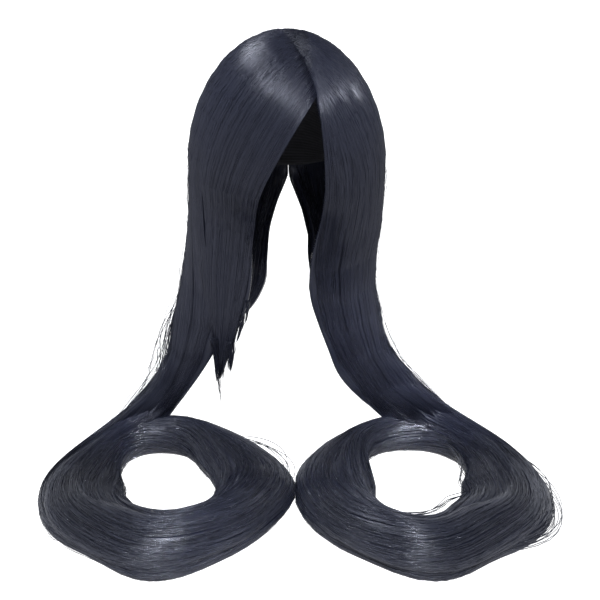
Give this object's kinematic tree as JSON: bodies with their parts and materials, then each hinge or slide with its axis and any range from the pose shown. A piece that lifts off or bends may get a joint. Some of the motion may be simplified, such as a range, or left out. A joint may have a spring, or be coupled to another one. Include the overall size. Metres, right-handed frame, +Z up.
{
  "type": "wig",
  "caption": "Very long straight synthetic wig on a thin cap, with a side-swept fringe and the ends of its side falls wound into round coils.",
  "frame": {"origin": "inside the crown of the cap, where the top of the head touches it", "axes": "+X to the viewer's right of the picture and along the longest extent, +Y to the back of the head, +Z up out of the crown"},
  "size_m": [0.514, 0.424, 0.4498],
  "materials": {
    "hair": "silky black fibre with blue-grey highlights",
    "cap_net": "matt black elastic net"
  },
  "bodies": {
    "root": {"cap": "cap_net", "fringe": "hair", "left_hair": "hair", "right_hair": "hair", "left_coil": "hair", "right_coil": "hair"}
  },
  "joints": []
}
